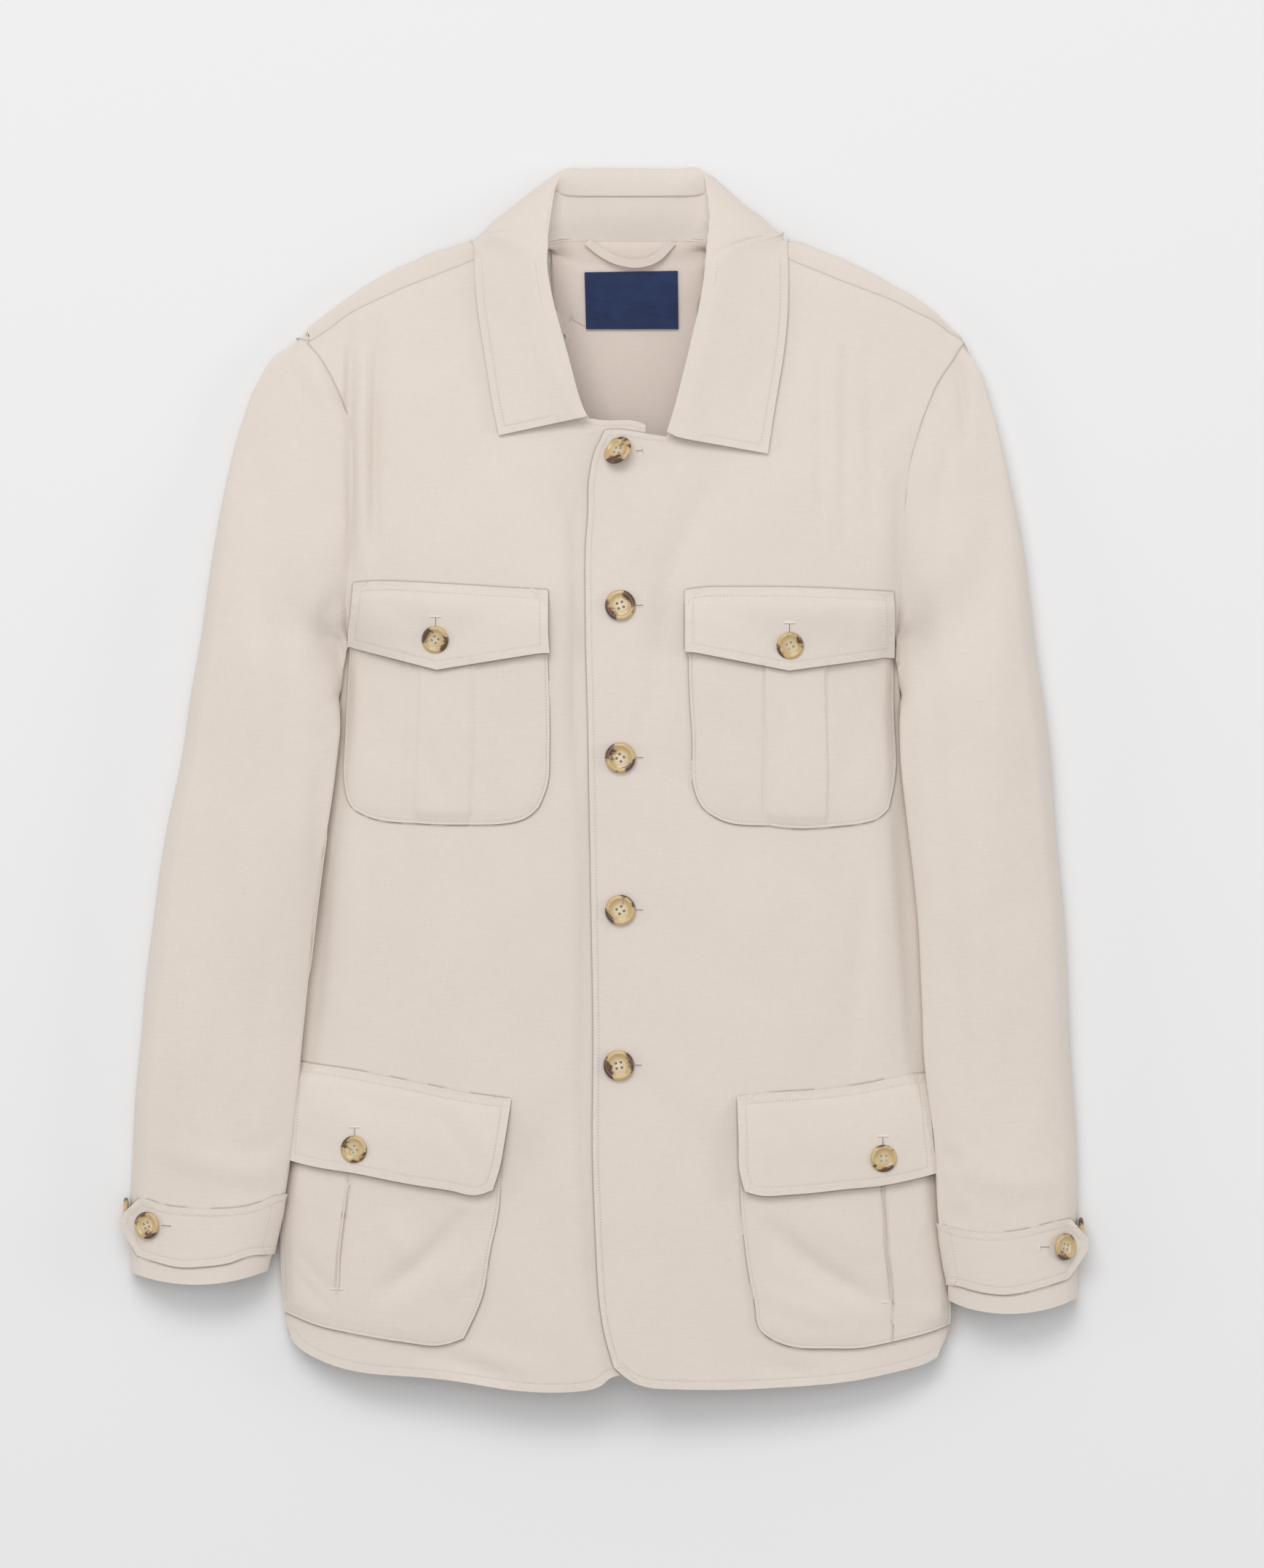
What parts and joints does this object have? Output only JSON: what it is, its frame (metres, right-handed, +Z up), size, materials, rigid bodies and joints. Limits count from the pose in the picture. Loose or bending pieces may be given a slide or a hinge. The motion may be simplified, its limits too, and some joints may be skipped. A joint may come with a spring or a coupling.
{
  "type": "safari jacket",
  "caption": "Light linen safari jacket lying on its back, buttoned, with a turned-down collar, flap pockets and cuff tabs.",
  "frame": {"origin": "centre of the box round the whole jacket, on the surface that it lies on", "axes": "+Z up out of the surface, from the back to the front of the jacket; +Y from the hem to the collar; +X to the wearer's left sleeve"},
  "size_m": [0.6324, 0.7981, 0.0564],
  "materials": {
    "linen_cloth": "matt plain weave",
    "inside_linen": "matt plain weave",
    "horn_button": "polished horn, mottled brown",
    "navy_satin": "soft satin"
  },
  "bodies": {
    "root": {"back": "inside_linen", "chest_button_left": "horn_button", "chest_button_right": "horn_button", "chest_flap_left": "linen_cloth", "chest_flap_right": "linen_cloth", "chest_pocket_left": "linen_cloth", "chest_pocket_right": "linen_cloth", "collar_fall": "linen_cloth", "collar_stand": "linen_cloth", "cuff_button_left": "horn_button", "cuff_button_right": "horn_button", "cuff_tab_left": "linen_cloth", "cuff_tab_right": "linen_cloth", "front_button_1": "horn_button", "front_button_2": "horn_button", "front_button_3": "horn_button", "front_button_4": "horn_button", "front_button_5": "horn_button", "front_left": "linen_cloth", "front_right": "linen_cloth", "hanger_loop": "linen_cloth", "hip_button_left": "horn_button", "hip_button_right": "horn_button", "hip_flap_left": "linen_cloth", "hip_flap_right": "linen_cloth", "hip_pocket_left": "linen_cloth", "hip_pocket_right": "linen_cloth", "neck_label": "navy_satin", "sleeve_left": "linen_cloth", "sleeve_right": "linen_cloth", "spare_button_left": "horn_button", "spare_button_right": "horn_button"}
  },
  "joints": []
}
